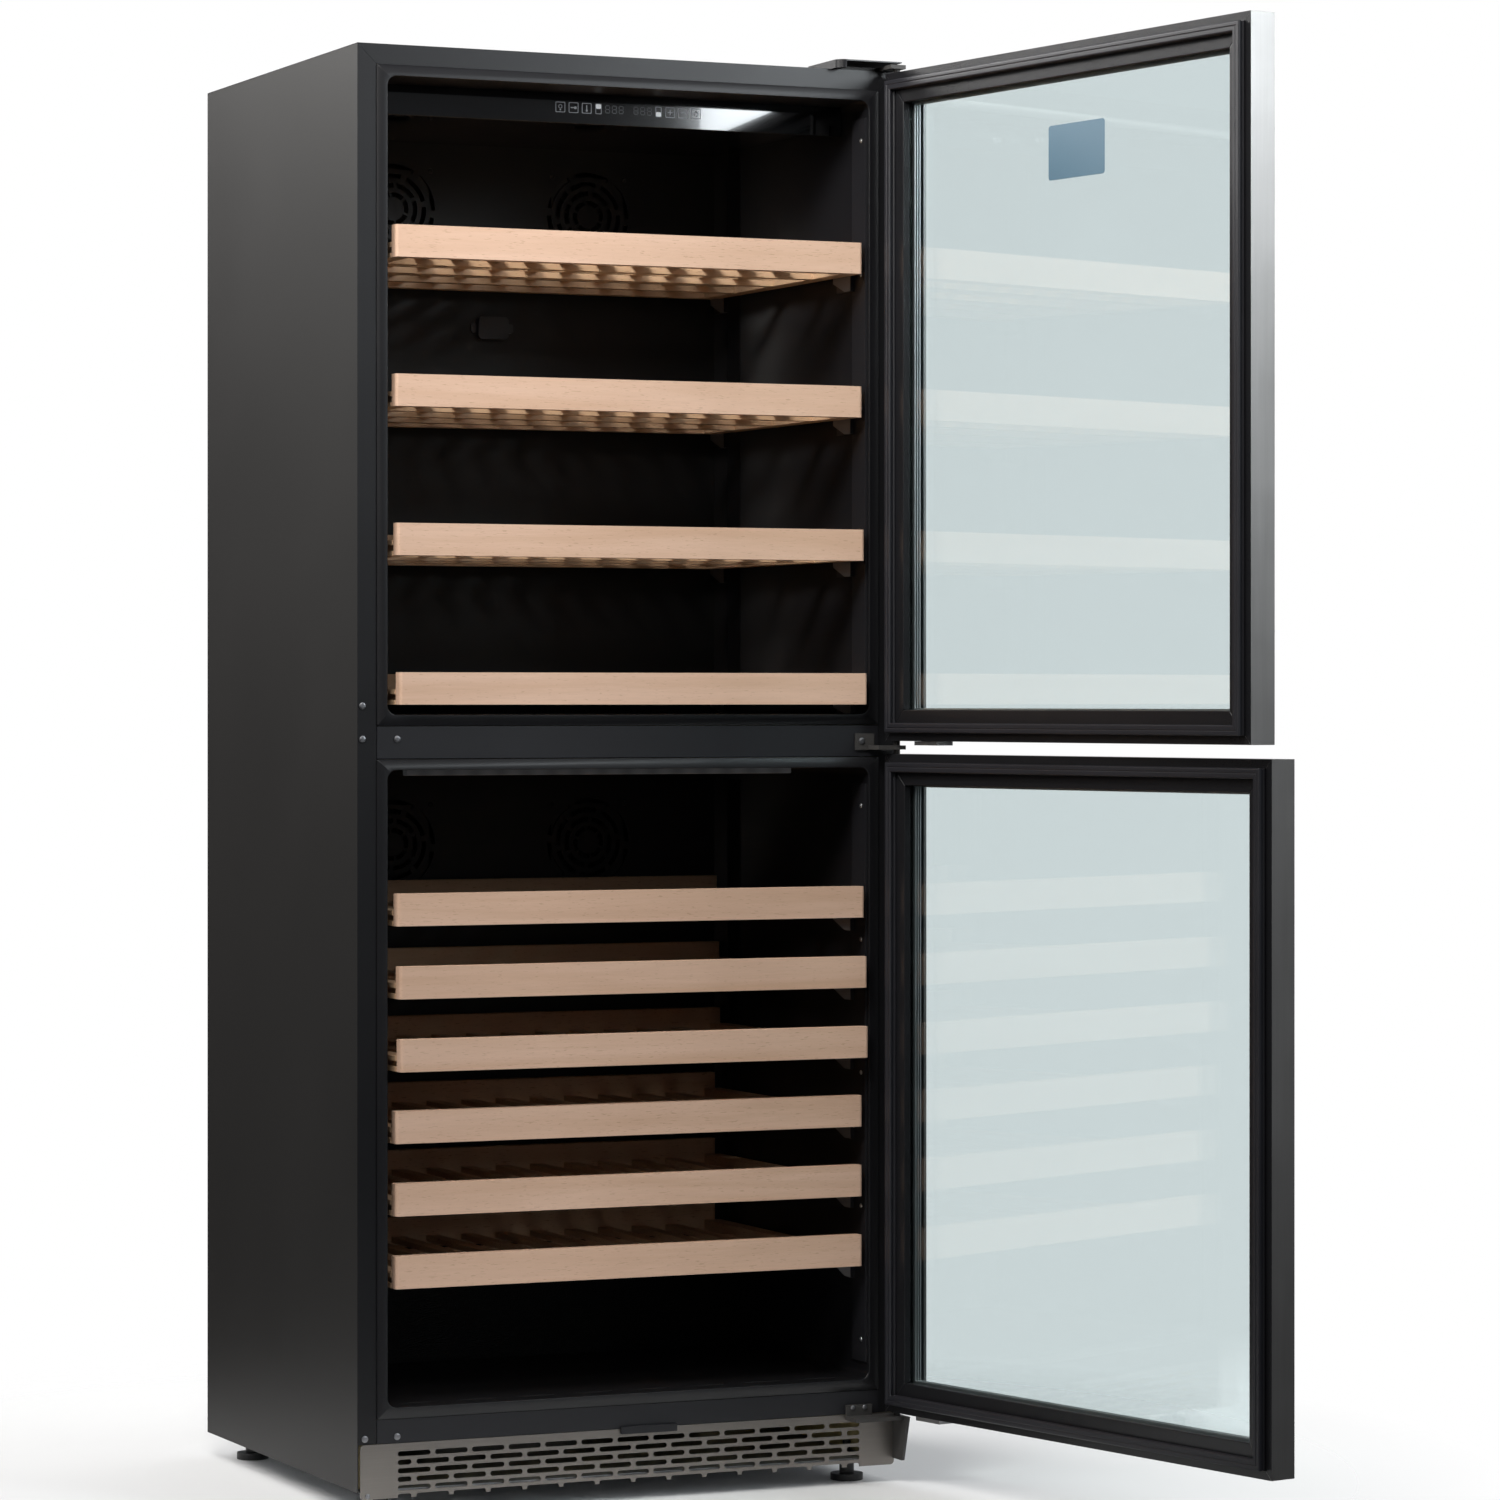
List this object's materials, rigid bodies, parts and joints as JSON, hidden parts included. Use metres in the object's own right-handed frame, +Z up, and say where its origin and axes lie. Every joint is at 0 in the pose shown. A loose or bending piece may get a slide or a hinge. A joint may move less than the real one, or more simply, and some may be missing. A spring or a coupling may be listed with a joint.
{
  "type": "wine cooler",
  "caption": "Tall two-zone wine cooler with a dark steel cabinet, two stainless-framed glass doors hinged on the right, sliding beech shelves and a slotted plinth.",
  "frame": {"origin": "on the floor, under the middle of the cabinet's footprint without its doors", "axes": "+Z up, the front with its doors to -Y, +X to the right seen from the front"},
  "size_m": [0.863, 1.2612, 1.7382],
  "materials": {
    "cabinet_steel": "satin",
    "galvanised_steel": "satin",
    "foam": "matte",
    "liner": "satin",
    "trim": "satin",
    "back_cover": "satin",
    "support_plastic": "satin",
    "runner_steel": "satin",
    "fascia": "gloss",
    "lamp": "gloss",
    "evaporator": "satin",
    "fan_plastic": "matte",
    "compressor": "satin",
    "condenser": "satin",
    "plinth_steel": "satin",
    "foot_rubber": "matte",
    "hinge_steel": "satin",
    "cover_plastic": "satin",
    "screw": "polished",
    "inlet_plastic": "matte",
    "door_steel": "satin",
    "bead": "satin",
    "gasket": "matte",
    "glass": "gloss",
    "fitting_steel": "polished",
    "beech_front": "satin",
    "beech_deck": "satin"
  },
  "bodies": {
    "cabinet": {"side_panel_left": "cabinet_steel", "side_panel_right": "cabinet_steel", "top_panel": "cabinet_steel", "rear_panel": "galvanised_steel", "base_tray": "galvanised_steel", "insulation": "foam", "upper_liner": "liner", "lower_liner": "liner", "front_trims": "trim", "upper_duct_cover": "back_cover", "lower_duct_cover": "back_cover", "support_strips": "support_plastic", "shelf_runners": "runner_steel", "control_panel": "fascia", "lamps": "lamp", "evaporators": "evaporator", "fan_housings": "fan_plastic", "compressor": "compressor", "condenser": "condenser", "plinth_grille": "plinth_steel", "levelling_feet": "foot_rubber", "hinge_brackets": "hinge_steel", "hinge_cover": "cover_plastic", "frame_fasteners": "screw", "power_inlet": "inlet_plastic"},
    "upper_door": {"upper_door_frame": "door_steel", "upper_door_bead": "bead", "upper_door_gasket": "gasket", "upper_door_glass": "glass", "upper_door_fittings": "fitting_steel"},
    "lower_door": {"lower_door_frame": "door_steel", "lower_door_bead": "bead", "lower_door_gasket": "gasket", "lower_door_glass": "glass", "lower_door_fittings": "fitting_steel"},
    "shelf_1": {"shelf_1_front": "beech_front", "shelf_1_frame": "beech_deck"},
    "shelf_2": {"shelf_2_front": "beech_front", "shelf_2_frame": "beech_deck"},
    "shelf_3": {"shelf_3_front": "beech_front", "shelf_3_frame": "beech_deck"},
    "shelf_4": {"shelf_4_front": "beech_front", "shelf_4_frame": "beech_deck"},
    "shelf_5": {"shelf_5_front": "beech_front", "shelf_5_frame": "beech_deck"},
    "shelf_6": {"shelf_6_front": "beech_front", "shelf_6_frame": "beech_deck"},
    "shelf_7": {"shelf_7_front": "beech_front", "shelf_7_frame": "beech_deck"},
    "shelf_8": {"shelf_8_front": "beech_front", "shelf_8_frame": "beech_deck"},
    "shelf_9": {"shelf_9_front": "beech_front", "shelf_9_frame": "beech_deck"},
    "shelf_10": {"shelf_10_front": "beech_front", "shelf_10_frame": "beech_deck"},
    "upper_left_fan": {"upper_left_rotor": "fan_plastic"},
    "upper_right_fan": {"upper_right_rotor": "fan_plastic"},
    "lower_left_fan": {"lower_left_rotor": "fan_plastic"},
    "lower_right_fan": {"lower_right_rotor": "fan_plastic"},
    "condenser_fan": {"condenser_rotor": "fan_plastic"}
  },
  "joints": [
    {"name": "upper_door_swing", "type": "hinge", "parent": "cabinet", "child": "upper_door", "pos_m": [0.34, -0.3015, 0.9085], "axis": [0, 0, 1], "range_deg": [-99.5, 15.5]},
    {"name": "lower_door_swing", "type": "hinge", "parent": "cabinet", "child": "lower_door", "pos_m": [0.34, -0.3015, 0.09], "axis": [0, 0, 1], "range_deg": [-102, 13]},
    {"name": "shelf_1_slide", "type": "slide", "parent": "cabinet", "child": "shelf_1", "axis": [0, -1, 0], "range_m": [0, 0.3]},
    {"name": "shelf_2_slide", "type": "slide", "parent": "cabinet", "child": "shelf_2", "axis": [0, -1, 0], "range_m": [0, 0.3]},
    {"name": "shelf_3_slide", "type": "slide", "parent": "cabinet", "child": "shelf_3", "axis": [0, -1, 0], "range_m": [-0.006, 0.294]},
    {"name": "shelf_4_slide", "type": "slide", "parent": "cabinet", "child": "shelf_4", "axis": [0, -1, 0], "range_m": [-0.014, 0.286]},
    {"name": "shelf_5_slide", "type": "slide", "parent": "cabinet", "child": "shelf_5", "axis": [0, -1, 0], "range_m": [-0.006, 0.294]},
    {"name": "shelf_6_slide", "type": "slide", "parent": "cabinet", "child": "shelf_6", "axis": [0, -1, 0], "range_m": [-0.014, 0.286]},
    {"name": "shelf_7_slide", "type": "slide", "parent": "cabinet", "child": "shelf_7", "axis": [0, -1, 0], "range_m": [-0.017, 0.283]},
    {"name": "shelf_8_slide", "type": "slide", "parent": "cabinet", "child": "shelf_8", "axis": [0, -1, 0], "range_m": [0, 0.3]},
    {"name": "shelf_9_slide", "type": "slide", "parent": "cabinet", "child": "shelf_9", "axis": [0, -1, 0], "range_m": [0, 0.3]},
    {"name": "shelf_10_slide", "type": "slide", "parent": "cabinet", "child": "shelf_10", "axis": [0, -1, 0], "range_m": [0, 0.3]},
    {"name": "upper_left_fan_spin", "type": "hinge", "parent": "cabinet", "child": "upper_left_fan", "pos_m": [-0.134, 0.1985, 1.582], "axis": [0, 1, 0], "continuous": true},
    {"name": "upper_right_fan_spin", "type": "hinge", "parent": "cabinet", "child": "upper_right_fan", "pos_m": [0.134, 0.1985, 1.582], "axis": [0, 1, 0], "continuous": true},
    {"name": "lower_left_fan_spin", "type": "hinge", "parent": "cabinet", "child": "lower_left_fan", "pos_m": [-0.134, 0.1985, 0.775], "axis": [0, 1, 0], "continuous": true},
    {"name": "lower_right_fan_spin", "type": "hinge", "parent": "cabinet", "child": "lower_right_fan", "pos_m": [0.134, 0.1985, 0.775], "axis": [0, 1, 0], "continuous": true},
    {"name": "condenser_fan_spin", "type": "hinge", "parent": "cabinet", "child": "condenser_fan", "pos_m": [-0.128, 0.2049, 0.1], "axis": [1, 0, 0], "continuous": true}
  ]
}
